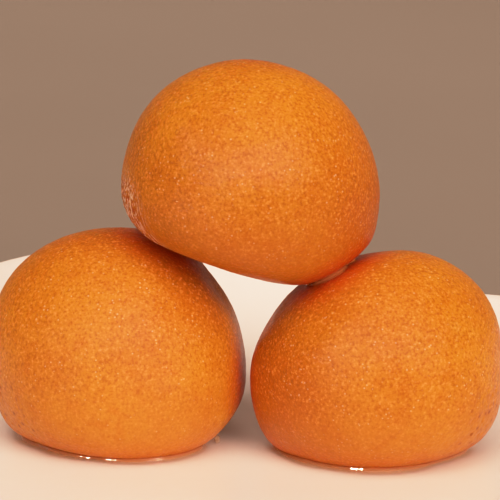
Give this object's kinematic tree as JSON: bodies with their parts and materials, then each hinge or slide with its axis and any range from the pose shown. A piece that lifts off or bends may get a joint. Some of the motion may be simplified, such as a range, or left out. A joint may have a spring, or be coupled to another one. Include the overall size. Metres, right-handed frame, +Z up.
{
  "type": "stack of gulab jamun on a dish",
  "caption": "Syrup-soaked fried milk-dough balls stacked as a small pyramid on a shallow white rounded-square dish, a dessert ready to serve.",
  "frame": {"origin": "centre of the dish's foot ring, on the surface that it stands on", "axes": "+Z up, +X to the right and -Y towards the viewer, with the lower sweets side by side along X"},
  "size_m": [0.2146, 0.2146, 0.0774],
  "materials": {
    "dish_glaze": "gloss",
    "fried_crust": "satin",
    "syrup": "gloss"
  },
  "bodies": {
    "root": {"dish": "dish_glaze", "jamun_left": "fried_crust", "jamun_right": "fried_crust", "jamun_top": "fried_crust"}
  },
  "joints": []
}
